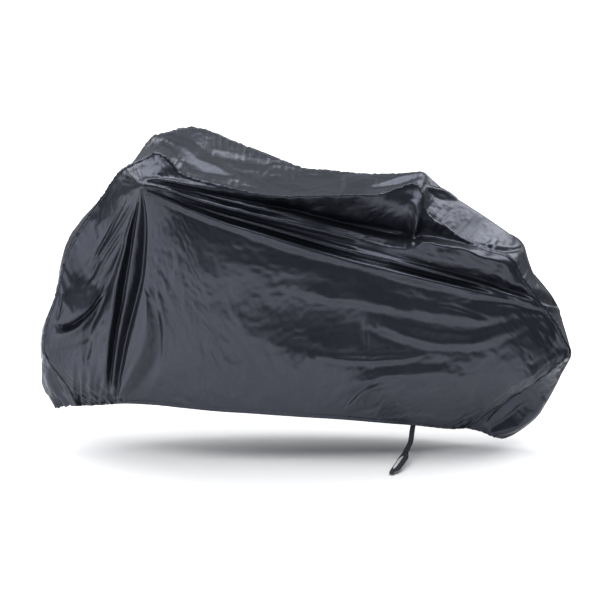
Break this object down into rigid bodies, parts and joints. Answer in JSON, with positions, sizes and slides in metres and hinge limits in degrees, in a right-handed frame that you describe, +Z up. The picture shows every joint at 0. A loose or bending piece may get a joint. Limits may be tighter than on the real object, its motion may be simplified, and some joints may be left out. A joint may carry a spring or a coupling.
{
  "type": "bicycle cover",
  "caption": "Fitted bicycle cover of black coated taffeta, draped in star folds, with two side panels, a seamed centre strip and a webbing tie loop.",
  "frame": {"origin": "point just under the top at the rear peak, where what is covered holds the cover up", "axes": "+X from the front end to the rear end, -Y towards the near side of the picture, +Z up"},
  "size_m": [1.865, 0.643, 1.119],
  "materials": {
    "taffeta": "semi-gloss coated",
    "webbing": "matt woven"
  },
  "bodies": {
    "root": {"side_panel_near": "taffeta", "side_panel_far": "taffeta", "centre_strip": "taffeta", "webbing_tie": "webbing"}
  },
  "joints": []
}
